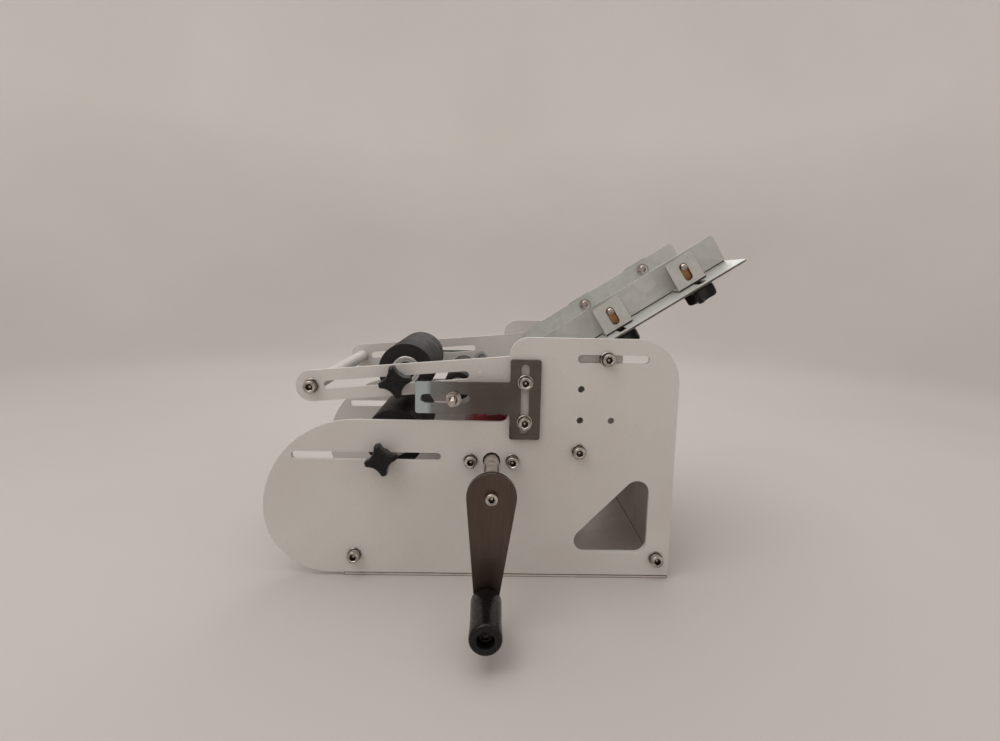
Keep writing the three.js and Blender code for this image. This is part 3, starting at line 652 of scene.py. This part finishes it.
def rollers():
    sleeve = "press_roller_sleeve"
    r = size_of(sleeve)[2] / 2
    core_r = size_of("press_roller_core")[2] / 2
    rubber_tube(
        sleeve, "press_sleeve", r, core_r + 0.2, size_of(sleeve)[1], RUBBER, "black_rubber",
        from_near_end(sleeve), [sleeve],
    )
    core = "press_roller_core"
    core_tube(
        "press_core", core_r, size_of(core)[1], from_near_end(core), "press_wheel",
        "bare_aluminium", [core],
    )
    for node, name in (("support_roller", "support"), ("guide_roller", "guide")):
        body = body_of_node(node)
        _, length, across = size_of(node)
        inner = across / 2 * 0.62
        rubber_tube(
            node, f"{name}_sleeve", across / 2, inner + 0.2, length, RUBBER, "black_rubber",
            from_near_end(node), [node],
        )
        if name == "support":
            core_tube(
                "support_core", inner, length, from_near_end(node), body, "bare_aluminium", []
            )
        else:
            plain_core(node, inner, length, body)
    sleeve = "drive_sleeve"
    rubber_tube(
        sleeve, "drive_cover", size_of(sleeve)[2] / 2, 12.2, size_of(sleeve)[1], RED,
        "red_silicone", from_near_end(sleeve), [sleeve],
    )


def plain_core(node, r, length, body):
    """The guide roller's plain tube with bushes."""
    shape = Turned()
    shape.skin(
        [
            (3.3, 0.5), (3.7, 0.1), (r - 0.3, 0.1), (r, 0.5), (r, length - 0.5),
            (r - 0.3, length - 0.1), (3.7, length - 0.1), (3.3, length - 0.5),
        ],
        closed=True,
    )
    shape.place("guide_core", ALUMINIUM, from_near_end(node), body, "bare_aluminium")


# ---- Axles and shafts ----


def chamfered(steps, ease=0.4):
    """Rings for a stepped shaft of (radius, from, to), each step's ends eased."""
    rings = []
    for r, a, b in steps:
        e = min(ease, (b - a) / 3, r / 3)
        rings += [(r - e, a), (r, a + e), (r, b - e), (r - e, b)]
    return rings


def clamp_axle(node):
    """A long axle with collars beside its roller and threaded ends inside the knobs."""
    low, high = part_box(node)
    length = size_of(node)[1]
    near = -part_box("guide_roller")[0].y / MM
    start = -low.y / MM - near
    stop = length - (high.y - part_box("guide_roller")[1].y) / MM
    shape = Turned()
    shape.skin(
        [(2.2, 0.0)] + thread_rings(2.95, 0.5, 26.0)
        + [(3.0, 27.0), (3.0, start - 4.0), (5.7, start - 4.0), (6.0, start - 3.7),
           (6.0, start - 0.6), (5.7, start - 0.3), (3.0, start - 0.3), (3.0, stop + 0.3),
           (5.7, stop + 0.3), (6.0, stop + 0.6), (6.0, stop + 3.7), (5.7, stop + 4.0),
           (3.0, stop + 4.0), (3.0, length - 27.0)]
        + thread_rings(2.95, length - 26.0, length - 0.5) + [(2.2, length)],
        segments=ROUND,
    )
    body = body_of_node(node)
    shape.place(f"{node}_turned", ZINC, from_near_end(node), body, "zinc_steel", [node])


def guide_axle():
    """The guide roller's axle: washers, nuts and threaded ends outside the brackets."""
    node = "guide_axle"
    low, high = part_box(node)
    half = (high.y - low.y) / 2 / MM
    bracket_out = -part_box("tee_bracket_near")[0].y / MM
    bracket_in = -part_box("tee_bracket_near")[1].y / MM
    shape = Turned()
    rings = [(2.3, -half)] + thread_rings(2.95, -half + 0.5, -bracket_in + 12.0)
    rings += [(3.0, -bracket_in + 13.0), (3.0, bracket_in - 13.0)]
    rings += thread_rings(2.95, bracket_in - 12.0, half - 0.5) + [(2.3, half)]
    shape.skin(rings)
    for s in SIDES.values():
        ends = sorted((s * (bracket_out + 0.3), s * (bracket_out + 1.4)))
        shape.skin([(3.3, ends[0]), (6.0, ends[0]), (6.0, ends[1]), (3.3, ends[1])], closed=True)
        outer = sorted((s * (bracket_out + 1.5), s * (bracket_out + 6.7)))
        nut(shape, *outer)
        inner = sorted((s * (bracket_in - 4.8), s * (bracket_in - 0.35)))
        nut(shape, *inner, across=9.6)
    matrix = aimed(middle(node), (0, 1, 0))
    shape.place("guide_axle_turned", ZINC, matrix, "guide_carriage", "zinc_steel", [node])


WEB_END_R, WEB_END = 3.0, 2.8  # the web rod's stepped ends


def rods():
    handle = size_of("handle_rod")
    shape = Turned()
    r = handle[0] / 2
    shape.skin(chamfered([(r, 0.0, handle[1])], 0.6), segments=FINE)
    shape.place(
        "handle_rod_turned", PAINTED_ROD, from_near_end("handle_rod"), "press_arm",
        "bare_aluminium", ["handle_rod"],
    )
    across, length, _ = size_of("web_rod")
    shape = Turned()
    shape.skin(
        chamfered([
            (WEB_END_R, 0.0, WEB_END), (across / 2, WEB_END, length - WEB_END),
            (WEB_END_R, length - WEB_END, length),
        ])
    )
    shape.place(
        "web_rod_turned", PLASTIC, from_near_end("web_rod"), "frame", "black_plastic", ["web_rod"]
    )


TIE_HALF = 88.0
TIE_COLLAR = (90.4, 99.6)


def tie_rod():
    """The cross rod with a cap screw and washer in each end."""
    low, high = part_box("tie_rod")
    half = (high.y - low.y) / 2 / MM
    shape = Turned()
    shape.skin(chamfered([(6.0, -TIE_HALF, TIE_HALF)]), segments=ROUND)
    for s in SIDES.values():
        collar = sorted(s * y for y in TIE_COLLAR)
        shape.skin(chamfered([(5.5, *collar)]), segments=ROUND)
        stub = sorted((s * TIE_HALF, s * (half - HEAD_H - WASHER_H - SPRING_H)))
        shape.skin([(SHANK_R, stub[0]), (SHANK_R, stub[1])])
    body = "frame"
    at = middle("tie_rod")
    shape.place("tie_rod_turned", ZINC, aimed(at, (0, 1, 0)), body, "zinc_steel", ["tie_rod"])
    for name, s in SIDES.items():
        head = Turned()
        socket_head(head, 0.0)
        washers(head, -HEAD_H - WASHER_H - SPRING_H)
        tip = Vector((at.x, s * half * MM, at.z))
        head.place(f"tie_screw_{name}", SCREW, aimed(tip, (0, s, 0), 0.3), body, "zinc_steel")


PIVOT_GRIP = 12.0  # from a pivot bolt's head to the inner face of its plate


def pivot_bolts():
    for name, s in SIDES.items():
        node = f"arm_pivot_bolt_{name}"
        length = size_of(node)[1]
        at = middle(node)
        at.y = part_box(node)[1].y if s > 0 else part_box(node)[0].y
        shape = Turned()
        socket_head(shape, 0.0)
        washers(shape, -HEAD_H - WASHER_H - SPRING_H)
        shape.skin(
            [(SHANK_R, -HEAD_H)] + [(SHANK_R, -length + 9.0)]
            + thread_rings(SHANK_R, -length + 8.5, -length + 0.5) + [(2.1, -length)]
        )
        shape.skin(chamfered([(WASHER_R, -PIVOT_GRIP - 0.8, -PIVOT_GRIP)], 0.15))
        shape.skin(chamfered([(5.5, -PIVOT_GRIP - 9.6, -PIVOT_GRIP - 5.9)], 0.3))
        nut(shape, -length + 1.5, -length + 1.5 + NUT_H)
        matrix = aimed(at, (0, s, 0), 0.9 + s)
        shape.place(f"{node}_turned", SCREW, matrix, "frame", "zinc_steel", [node])


# ---- Crank ----


def crank():
    edged("crank_arm", CRANK_STEEL, CRANK_EDGE_HIGHLIGHT, 0.4, 40)
    shaft = "drive_shaft"
    length = size_of(shaft)[1]
    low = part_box(shaft)[0].y / MM
    core0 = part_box("drive_sleeve")[0].y / MM - low - 0.3
    core1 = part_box("drive_sleeve")[1].y / MM - low + 0.3
    shape = Turned()
    shape.skin(
        chamfered([(6.0, 0.0, core0), (12.0, core0, core1), (6.0, core1, length)], 0.5),
        segments=FINE,
    )
    shape.place("drive_shaft_turned", ZINC, from_near_end(shaft), "crank", "zinc_steel", [shaft])
    node = "crank_screw"
    at = middle(node)
    at.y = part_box(node)[0].y
    shape = Turned()
    head = 5.0
    socket_head(shape, 0.0, head, 4.25, 4.0)
    shape.skin([(SHANK_R, -head), (SHANK_R, -size_of(node)[1])])
    shape.place("crank_screw_cap", SCREW, aimed(at, (0, -1, 0)), "crank", "zinc_steel", [node])
    grip_parts()


def grip_parts():
    """The moulded grip, with its deep mouth in painted shade and the bolt head inside it."""
    node = "crank_grip"
    _, length, across = size_of(node)
    r = across / 2
    at = middle(node)
    at.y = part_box(node)[0].y
    matrix = aimed(at, (0, -1, 0))
    shape = Turned()
    shape.skin(
        [
            (3.4, -length), (r - 1.0, -length), (r - 0.3, -length + 0.35), (r, -length + 1.0),
            (r - 0.12, -length * 0.75), (r - 0.35, -length * 0.5), (r - 0.12, -length * 0.22),
            (r, -3.4), (r - 0.12, -1.6), (r - 0.7, -0.5), (r - 1.8, 0.0), (6.1, 0.0),
            (5.7, -0.4), (5.6, -9.0), (3.4, -9.2),
        ],
        # the mouth's lip and inner wall take painted shade
        segments=FINE, closed=True, dark=(11, 12),
    )
    shape.place(
        "crank_grip_moulded", [PLASTIC, MOUTH_SHADE], matrix, "grip", "black_plastic", [node]
    )
    bolt = "grip_bolt"
    at = middle(bolt)
    at.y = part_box(bolt)[0].y
    long = size_of(bolt)[1]
    shape = Turned()
    socket_head(shape, -1.6, 3.6, 4.9)
    shape.skin([(SHANK_R, -5.2), (SHANK_R, -long + 6.0)] + thread_rings(2.9, -long + 5.5, -long))
    nut(shape, -long + 0.2, -long + 5.0)
    shape.place(
        "grip_bolt_turned", [BLACK_BOLT, RECESS_SHADE], aimed(at, (0, -1, 0)), "crank", "zinc_steel",
        [bolt],
    )


# ---- Label cradle ----

OFF_SHEET = next(
    Vector(j["axis"]) for j in frame["joints"] if j["name"].startswith("rail_knob_turn")
).normalized()
UP_SLOPE = Vector((OFF_SHEET.z, 0, -OFF_SHEET.x))
SLOPE_TURN = Matrix((UP_SLOPE, Vector((0, 1, 0)), OFF_SHEET)).transposed().to_4x4()
TRAY_T, FOOT_T, CLEAR = 1.5, 1.5, 0.3
SHADOW_STRIP_THICK, SHADOW_STRIP_TALL = 0.5, 0.95
SHADOW_STRIP_MID = 0.85  # the shadow strip's height off the tray, to its middle
WALL_FROM, WALL_TO = -79.0, 108.0  # an upright guide's ends, up the slope from the lower foot
EAR_WIDE = 25.2
SPACER_SCREW_W = 17.0  # the spacer screw's height off the tray
STUB = 2.5  # how far it stands out of the ear
BLOCK_WIDE, BLOCK_TALL = 8.8, 15.0  # the brass block, up the slope and off the tray
BLOCK_MID = 12.5  # its middle's height off the tray
SCREW_SEAT = 5.5  # the room that the spacer screw's head and washer take inside


def across_slope(normal, _centre):
    return abs(normal.dot(UP_SLOPE)) > 0.7


def tray_rim(normal, centre):
    """The thin faces round the tray's sheet, not those of its cheeks."""
    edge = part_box("label_tray")[1].y
    beside = abs(normal.y) > 0.7 and abs(centre.y) > edge - 0.4 * MM
    return beside or normal.dot(UP_SLOPE) > 0.7


def tray_point(u):
    """A point of the tray's top face, u millimetres up the slope from the lower foot's stud."""
    joint = next(j for j in frame["joints"] if j["name"] == "rail_knob_turn_near_lower")
    return Vector(joint["pos_m"]) + UP_SLOPE * u * MM


def sloped_block(name, size, centre, material, bevel=0.0):
    """A block of size (up the slope, along Y, off the tray), with its middle at centre."""
    bm = bmesh.new()
    bmesh.ops.create_cube(bm, size=1.0)
    bmesh.ops.scale(bm, vec=Vector(size) * MM, verts=bm.verts)
    if bevel:
        bmesh.ops.bevel(
            bm, geom=bm.edges[:], offset=bevel * MM, segments=2, profile=0.6, affect="EDGES"
        )
    mesh = bpy.data.meshes.new(name)
    bm.to_mesh(mesh)
    bm.free()
    mesh.materials.append(material)
    if bevel:
        smooth(mesh, 30)
    block = bpy.data.objects.new(name, mesh)
    bpy.context.scene.collection.objects.link(block)
    block.matrix_world = Matrix.Translation(centre) @ SLOPE_TURN
    return block


def gap_shadow_strip(name, face, side, u0, u1, body):
    """A dark strip standing for the shadow line where an upright sheet meets the tray, from u0 to u1 up the slope.
    """
    centre = (tray_point(u0) + tray_point(u1)) / 2 + OFF_SHEET * SHADOW_STRIP_MID * MM
    centre.y = (face - side * 0.2) * MM
    strip = sloped_block(name, (u1 - u0, SHADOW_STRIP_THICK, SHADOW_STRIP_TALL), centre, RECESS_SHADE)
    settle(strip, body)


def cradle_sheets():
    # the tray's rim, the guides' cut faces and their rounded edges take the dark edge colour: bare steel with
    # painted shade
    edged("label_tray", GALVANISED, CUT_EDGE_SHADE, 0.25, 40, tray_rim)
    for name, s in SIDES.items():
        wall = f"label_guide_{name}"
        body = body_of_node(wall)
        edged(wall, GALVANISED, CUT_EDGE_SHADE, 0.25, 40, across_slope)
        outer = (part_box(wall)[1].y if s > 0 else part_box(wall)[0].y) / MM
        # painted shadow along the foot of the wall and of each ear
        gap_shadow_strip(f"guide_gap_shadow_{name}", outer, s, WALL_FROM, WALL_TO, body)
        for end in ENDS:
            foot = f"guide_foot_{name}_{end}"
            edged(foot, GALVANISED, CUT_EDGE_SHADE, 0.25, 40, across_slope)
            ear = (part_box(foot)[1].y if s > 0 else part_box(foot)[0].y) / MM
            start = (middle(foot) - tray_point(0)).dot(UP_SLOPE) / MM - EAR_WIDE / 2
            gap_shadow_strip(f"foot_gap_shadow_{name}_{end}", ear, s, start, start + EAR_WIDE, body)


def spacer(name, end):
    """A brass block between wall and ear, with the screw that goes through wall, block and ear."""
    node = f"guide_spacer_{name}_{end}"
    s = SIDES[name]
    low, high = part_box(node)
    length = (high.y - low.y) / MM
    body = body_of_node(node)
    ear = middle(f"guide_foot_{name}_{end}") - tray_point(0)
    foot = tray_point(ear.dot(UP_SLOPE) / MM)
    at = foot + OFF_SHEET * SPACER_SCREW_W * MM
    at.y = high.y if s > 0 else low.y
    matrix = aimed(at, (0, s, 0), 0.5)
    deep = length - STUB - 2 * CLEAR - 2 * FOOT_T - SCREW_SEAT
    centre = foot + OFF_SHEET * BLOCK_MID * MM
    centre.y = at.y - s * (STUB + 2 * CLEAR + FOOT_T + deep / 2) * MM
    brass = sloped_block(f"{node}_brass", (BLOCK_WIDE, deep, BLOCK_TALL), centre, SHADED_BRASS, 0.5)
    settle(brass, body, [node])
    steel = Turned()
    inner = -length
    steel.skin([(2.0, 0.0), (2.6, -0.5), (2.6, inner + 3.6)])
    steel.skin(
        [
            (3.2, inner + 4.9), (WASHER_R, inner + 4.9), (WASHER_R, inner + 3.6),
            (4.9, inner + 3.6), (4.8, inner + 1.4), (4.2, inner + 0.5), (3.2, inner + 0.05),
            (hexagon(4.0), inner + 0.05), (hexagon(3.8), inner + 2.2), (0.7, inner + 2.5),
        ],
        # the socket's walls take painted shade
        dark=(7,),
    )
    steel.place(f"{node}_screws", SCREW, matrix, body, "zinc_steel")


def thumb_knob(name, end):
    """A lobed knob under the tray, its stud through the slot and a nut on the foot."""
    node = f"guide_knob_{name}_{end}"
    body = body_of_node(node)
    joint = next(j for j in frame["joints"] if j["child"] == body)
    at = Vector(joint["pos_m"]) - OFF_SHEET * (TRAY_T + CLEAR) * MM
    shape = Turned()
    knob_skin(shape)
    matrix = aimed(at, -OFF_SHEET, 0.5)
    shape.place(f"{node}_moulded", PLASTIC, matrix, body, "black_plastic", [node])
    stud = Turned()
    top = TRAY_T + FOOT_T + 3 * CLEAR
    stud.skin([(2.6, -2.0)] + thread_rings(2.85, -1.5, top + 1.6) + [(2.2, top + 2.0)])
    nut(stud, top, top + 2.0, across=9.0)
    stud.place(f"{node}_stud", ZINC, aimed(at, OFF_SHEET, 0.2), body, "zinc_steel")


# ---- Frame ----


def structure():
    # base pan and tee brackets: rounded edges in the dark edge colour, bare metal with painted shade
    edged("base_pan", BASE_SHEET, CUT_EDGE_SHADE, 0.5)
    for name in SIDES:
        # the plates' and bars' rounded edges take the painted highlight
        edged(f"side_plate_{name}", WHITE, WHITE_EDGE_HIGHLIGHT, 0.45)
        edged(f"press_arm_bar_{name}", WHITE, WHITE_EDGE_HIGHLIGHT, 0.45)
        edged(f"tee_bracket_{name}", BRACKET, CUT_EDGE_SHADE, 0.3)
        edged(f"shaft_bearing_{name}", ZINC, None, 0.4)


def bar_plugs():
    """A small painted-over pin in each press arm bar."""
    for name, s in SIDES.items():
        low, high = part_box(f"press_arm_bar_{name}")
        face = high.y if s > 0 else low.y
        at = Vector((middle("web_rod").x + 0.9 * MM, face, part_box("web_rod")[1].z + 6.6 * MM))
        shape = Turned()
        shape.skin([(2.2, -0.5), (2.2, 0.1), (2.0, 0.3), (1.2, 0.38)], segments=32)
        shape.place(f"bar_plug_{name}", WHITE, aimed(at, (0, s, 0)), "press_arm", "white_paint")


# ---- Studio ----


def floor():
    """A pale floor that curves up into a round backdrop, so every side has the same ground."""
    bm = bmesh.new()
    segments, flat, rise, top = 96, 1.5, 0.9, 2.6
    rings = [(0.35, 0.0), (0.8, 0.0), (flat, 0.0)]
    rings += [
        (flat + rise * math.sin(a), rise - rise * math.cos(a))
        for a in (math.radians(9 * k) for k in range(1, 11))
    ]
    rings.append((flat + rise, top))
    loops = [
        [
            bm.verts.new((r * math.cos(t), r * math.sin(t), z))
            for t in (2 * math.pi * i / segments for i in range(segments))
        ]
        for r, z in rings
    ]
    bm.faces.new(loops[0])
    for low, high in zip(loops, loops[1:]):
        for i in range(segments):
            j = (i + 1) % segments
            bm.faces.new((low[i], high[i], high[j], low[j]))
    mesh = bpy.data.meshes.new("studio_floor")
    bm.to_mesh(mesh)
    bm.free()
    mesh.materials.append(paper("studio_paper", (0.60, 0.565, 0.535), (0.565, 0.53, 0.50)))
    smooth(mesh, 60)
    ground = bpy.data.objects.new("studio_floor", mesh)
    bpy.context.scene.collection.objects.link(ground)


def lamp(name, at, target, size, power, color):
    data = bpy.data.lights.new(name, "AREA")
    data.shape = "DISK"
    data.size = size
    data.energy = power
    data.color = color
    light = bpy.data.objects.new(name, data)
    light.matrix_world = aimed(at, Vector(at) - Vector(target))
    light.visible_camera = False
    bpy.context.scene.collection.objects.link(light)


def studio():
    floor()
    centre = (0.0, 0.0, 0.1)
    lamp("key", (-0.9, -0.9, 1.5), centre, 1.3, 6.6, (1.0, 0.975, 0.955))
    lamp("fill", (1.2, -0.9, 0.9), centre, 1.3, 1.2, (1.0, 0.97, 0.95))
    lamp("back", (0.2, 1.3, 1.3), centre, 1.2, 5.0, (0.98, 0.98, 0.98))
    lamp("over", (-0.2, 0.1, 2.3), centre, 2.6, 18.0, (1.0, 0.98, 0.955))
    world = bpy.data.worlds.new("studio_air")
    world.use_nodes = True
    air = world.node_tree.nodes["Background"]
    air.inputs["Color"].default_value = (0.92, 0.91, 0.895, 1.0)
    air.inputs["Strength"].default_value = 0.43
    bpy.context.scene.world = world
    bpy.context.scene.view_settings.view_transform = "Standard"


def camera():
    data = bpy.data.cameras.new("view")
    data.lens = 21.6
    data.sensor_width = 36.0
    data.clip_start = 0.01
    lens = bpy.data.objects.new("view", data)
    right = Vector((0.99969, -0.01483, 0.01988))
    up = Vector((-0.01745, 0.14913, 0.98866))
    back = Vector((-0.01763, -0.98871, 0.14883))
    place = Matrix((right, up, back)).transposed().to_4x4()
    place.translation = Vector((-0.017158, -0.570184, 0.242745))
    lens.matrix_world = place
    bpy.context.scene.collection.objects.link(lens)
    bpy.context.scene.camera = lens


camera()
studio()
structure()
bar_plugs()
screws()
tie_rod()
pivot_bolts()
rods()
rollers()
for axle in ("press_axle", "support_axle"):
    clamp_axle(axle)
guide_axle()
axle_knob("press_knob_near", math.radians(12))
axle_knob("press_knob_far", math.radians(23))
axle_knob("support_knob_near", math.radians(14))
axle_knob("support_knob_far", math.radians(40))
crank()
cradle_sheets()
for side in SIDES:
    for end in ENDS:
        spacer(side, end)
        thumb_knob(side, end)
